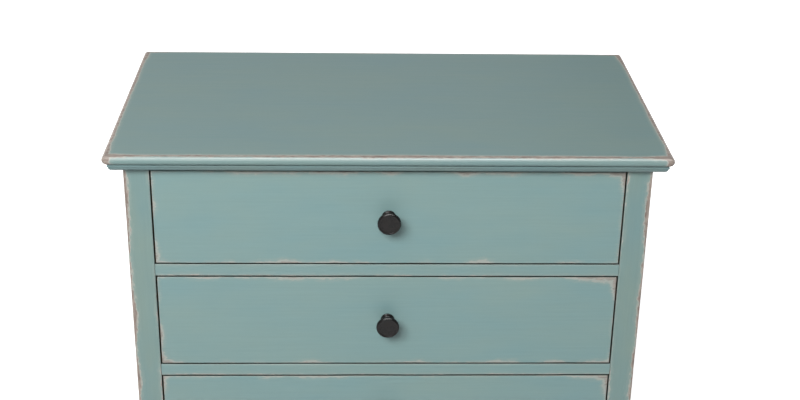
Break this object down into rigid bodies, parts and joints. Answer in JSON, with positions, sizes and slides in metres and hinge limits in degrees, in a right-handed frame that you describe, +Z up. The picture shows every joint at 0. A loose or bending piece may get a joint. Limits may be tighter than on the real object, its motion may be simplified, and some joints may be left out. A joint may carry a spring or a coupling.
{
  "type": "chest of drawers",
  "caption": "Painted wooden chest of full-width inset drawers with round dark metal knobs, an overhanging top on a small cornice, panelled sides and short square legs.",
  "frame": {"origin": "on the floor, under the middle of the whole chest, knobs included (3 mm ahead of the middle of the top)", "axes": "+X to the right seen from the front, -Y towards the front (the drawers open along -Y), +Z up"},
  "size_m": [0.815, 0.468, 0.85],
  "materials": {
    "paint_case": "worn blue-green eggshell paint over wood",
    "paint_top": "worn grey-green satin paint over wood, rubbed through along its edges",
    "paint_front": "brushed, cloudy blue-green eggshell paint over wood",
    "bare_wood": "unfinished softwood",
    "drawer_wood": "planed, unfinished hardwood",
    "plywood": "thin plywood, face grain across",
    "knob_metal": "dark bronze, satin",
    "screw_steel": "zinc-plated steel"
  },
  "bodies": {
    "case": {"top_panel": "paint_top", "cornice_front": "paint_case", "cornice_left": "paint_case", "cornice_right": "paint_case", "post_front_left": "paint_case", "post_front_right": "paint_case", "post_rear_left": "paint_case", "post_rear_right": "paint_case", "side_panel_left": "paint_case", "side_panel_right": "paint_case", "side_rail_top_left": "paint_case", "side_rail_top_right": "paint_case", "side_apron_left": "paint_case", "side_apron_right": "paint_case", "front_rail_top": "paint_case", "front_rail_1": "paint_case", "front_rail_2": "paint_case", "front_rail_3": "paint_case", "apron_front": "paint_case", "back_panel": "plywood", "rear_rail_top": "bare_wood", "rear_rail_bottom": "bare_wood", "kicker_left": "bare_wood", "kicker_right": "bare_wood", "runner_1_left": "bare_wood", "runner_1_right": "bare_wood", "runner_2_left": "bare_wood", "runner_2_right": "bare_wood", "runner_3_left": "bare_wood", "runner_3_right": "bare_wood", "runner_4_left": "bare_wood", "runner_4_right": "bare_wood"},
    "drawer_1": {"drawer_1_front": "paint_front", "drawer_1_side_left": "drawer_wood", "drawer_1_side_right": "drawer_wood", "drawer_1_back": "drawer_wood", "drawer_1_bottom": "plywood", "drawer_1_knob": "knob_metal", "drawer_1_knob_screw": "screw_steel"},
    "drawer_2": {"drawer_2_front": "paint_front", "drawer_2_side_left": "drawer_wood", "drawer_2_side_right": "drawer_wood", "drawer_2_back": "drawer_wood", "drawer_2_bottom": "plywood", "drawer_2_knob": "knob_metal", "drawer_2_knob_screw": "screw_steel"},
    "drawer_3": {"drawer_3_front": "paint_front", "drawer_3_side_left": "drawer_wood", "drawer_3_side_right": "drawer_wood", "drawer_3_back": "drawer_wood", "drawer_3_bottom": "plywood", "drawer_3_knob": "knob_metal", "drawer_3_knob_screw": "screw_steel"},
    "drawer_4": {"drawer_4_front": "paint_front", "drawer_4_side_left": "drawer_wood", "drawer_4_side_right": "drawer_wood", "drawer_4_back": "drawer_wood", "drawer_4_bottom": "plywood", "drawer_4_knob": "knob_metal", "drawer_4_knob_screw": "screw_steel"}
  },
  "joints": [
    {"name": "drawer_1_slide", "type": "slide", "parent": "case", "child": "drawer_1", "axis": [0, -1, 0], "range_m": [0, 0.3]},
    {"name": "drawer_2_slide", "type": "slide", "parent": "case", "child": "drawer_2", "axis": [0, -1, 0], "range_m": [0, 0.3]},
    {"name": "drawer_3_slide", "type": "slide", "parent": "case", "child": "drawer_3", "axis": [0, -1, 0], "range_m": [0, 0.3]},
    {"name": "drawer_4_slide", "type": "slide", "parent": "case", "child": "drawer_4", "axis": [0, -1, 0], "range_m": [0, 0.3]}
  ]
}
